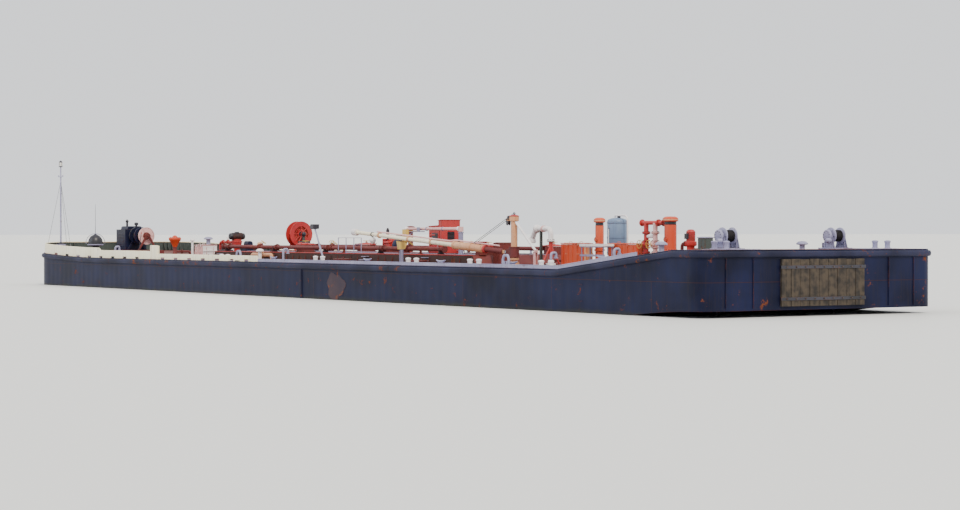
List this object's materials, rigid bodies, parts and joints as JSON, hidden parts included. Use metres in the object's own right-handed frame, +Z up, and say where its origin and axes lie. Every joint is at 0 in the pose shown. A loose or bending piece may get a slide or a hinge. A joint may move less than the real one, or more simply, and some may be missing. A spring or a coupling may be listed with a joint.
{
  "type": "river tank barge, 1:2 scale model",
  "caption": "Pushed river tank barge with raked ends, cream bow bulwark, low trunk with tank hatches, hose derrick, pumps and winches; half-size model.",
  "frame": {"origin": "centre of the bounding box at the height of the flat bottom, amidships", "axes": "+X towards the stern, -X towards the bow, +Y to starboard, -Y to port, +Z up"},
  "size_m": [29.81, 5.46, 4.3356],
  "materials": {
    "hull_paint": "weathered blue-black hull paint",
    "grey_paint": "worn grey paint",
    "timber": "bare weathered timber",
    "cream_paint": "cream gloss paint, rust-stained",
    "white_paint": "white paint, dulled",
    "red_oxide": "flat red oxide deck paint",
    "red_paint": "red paint, chalked",
    "orange_paint": "orange paint, chalked",
    "tan_paint": "tan paint, worn to primer",
    "black_paint": "black paint",
    "engine_blue": "dark blue machinery paint",
    "tank_grey": "blue-grey tank paint"
  },
  "bodies": {
    "barge_hull": {"bitts_port": "white_paint", "bitts_starboard": "white_paint", "boom_crutch": "grey_paint", "bow_bulwark": "cream_paint", "bow_vent": "black_paint", "cargo_main_port": "orange_paint", "cargo_main_starboard": "orange_paint", "cargo_trunk": "red_oxide", "casing_aft": "orange_paint", "casing_fore": "orange_paint", "catwalk": "white_paint", "day_tank": "tank_grey", "deck_lamp": "black_paint", "deck_locker": "white_paint", "fore_pump": "red_paint", "fore_valve": "orange_paint", "hatch_coaming_1": "red_oxide", "hatch_coaming_2": "red_oxide", "hatch_coaming_3": "red_oxide", "hatch_coaming_4": "red_oxide", "hull_bow": "hull_paint", "hull_midbody": "hull_paint", "hull_stern": "hull_paint", "kingpost": "tan_paint", "light_staff": "grey_paint", "manifold": "red_paint", "mid_pump": "red_paint", "power_house": "red_paint", "power_unit": "black_paint", "rail_bow": "grey_paint", "rail_port": "grey_paint", "rail_starboard": "grey_paint", "rail_stern": "grey_paint", "reel_stand": "red_paint", "riser": "white_paint", "short_boom_post": "grey_paint", "stern_pad": "timber", "stern_pump": "red_paint", "tool_locker": "black_paint", "vent_post_aft": "orange_paint", "vent_post_fore": "orange_paint", "winch_port_frame": "grey_paint", "winch_starboard_frame": "grey_paint", "windlass_frame": "engine_blue"},
    "windlass_drum": {"windlass_drum": "red_paint"},
    "reel_drum": {"reel_drum": "red_paint"},
    "deck_locker_lid": {"deck_locker_lid": "white_paint"},
    "power_house_door": {"power_house_door": "red_paint"},
    "boom_collar": {"boom_collar": "orange_paint"},
    "hose_boom": {"hose_boom": "tan_paint"},
    "short_boom": {"short_boom": "white_paint"},
    "casing_fore_lid": {"casing_fore_lid": "orange_paint"},
    "casing_aft_lid": {"casing_aft_lid": "orange_paint"},
    "winch_port_drum": {"winch_port_drum": "grey_paint"},
    "winch_starboard_drum": {"winch_starboard_drum": "grey_paint"},
    "hatch_lid_1": {"hatch_lid_1": "red_paint"},
    "hatch_lid_2": {"hatch_lid_2": "red_paint"},
    "hatch_lid_3": {"hatch_lid_3": "red_paint"},
    "hatch_lid_4": {"hatch_lid_4": "red_paint"}
  },
  "joints": [
    {"name": "windlass_spin", "type": "hinge", "parent": "barge_hull", "child": "windlass_drum", "pos_m": [-13.4, 0, 2.2381], "axis": [1, 0, 0], "continuous": true},
    {"name": "reel_spin", "type": "hinge", "parent": "barge_hull", "child": "reel_drum", "pos_m": [-4.095, 0, 2.2954], "axis": [1, 0, 0], "continuous": true},
    {"name": "hatch_lid_1_hinge", "type": "hinge", "parent": "barge_hull", "child": "hatch_lid_1", "pos_m": [-2.25, -0.5725, 2.05765], "axis": [-1, 0, 0], "range_deg": [0, 100]},
    {"name": "hatch_lid_2_hinge", "type": "hinge", "parent": "barge_hull", "child": "hatch_lid_2", "pos_m": [-2.25, 0.5725, 2.05765], "axis": [1, 0, 0], "range_deg": [0, 100]},
    {"name": "hatch_lid_3_hinge", "type": "hinge", "parent": "barge_hull", "child": "hatch_lid_3", "pos_m": [5.575, -0.5725, 2.05765], "axis": [-1, 0, 0], "range_deg": [0, 100]},
    {"name": "hatch_lid_4_hinge", "type": "hinge", "parent": "barge_hull", "child": "hatch_lid_4", "pos_m": [5.575, 0.5725, 2.05765], "axis": [1, 0, 0], "range_deg": [0, 100]},
    {"name": "deck_locker_lid_hinge", "type": "hinge", "parent": "barge_hull", "child": "deck_locker_lid", "pos_m": [-9.24, 0.2225, 2.0014], "axis": [-1, 0, 0], "range_deg": [0, 95]},
    {"name": "casing_fore_lid_hinge", "type": "hinge", "parent": "barge_hull", "child": "casing_fore_lid", "pos_m": [7.555, 0.1225, 2.1214], "axis": [-1, 0, 0], "range_deg": [0, 95]},
    {"name": "casing_aft_lid_hinge", "type": "hinge", "parent": "barge_hull", "child": "casing_aft_lid", "pos_m": [9.21, 0.1275, 2.1214], "axis": [-1, 0, 0], "range_deg": [0, 95]},
    {"name": "power_house_door_hinge", "type": "hinge", "parent": "barge_hull", "child": "power_house_door", "pos_m": [2.37, -0.255, 2.1554], "axis": [0, 0, -1], "range_deg": [0, 110]},
    {"name": "boom_slew", "type": "hinge", "parent": "barge_hull", "child": "boom_collar", "pos_m": [7.65, -1.575, 1.9554], "axis": [0, 0, 1], "range_deg": [0, 110]},
    {"name": "boom_luff", "type": "hinge", "parent": "boom_collar", "child": "hose_boom", "pos_m": [7.425, -1.575, 1.9554], "axis": [0, 1, 0], "range_deg": [0, 60]},
    {"name": "short_boom_slew", "type": "hinge", "parent": "barge_hull", "child": "short_boom", "pos_m": [4.925, -1.075, 2.4154], "axis": [0, 0, -1], "range_deg": [0, 100]},
    {"name": "winch_port_spin", "type": "hinge", "parent": "barge_hull", "child": "winch_port_drum", "pos_m": [13.8, -1.25, 2.28264], "axis": [0, 1, 0], "continuous": true},
    {"name": "winch_starboard_spin", "type": "hinge", "parent": "barge_hull", "child": "winch_starboard_drum", "pos_m": [13.8, 1.25, 2.28264], "axis": [0, 1, 0], "continuous": true}
  ]
}
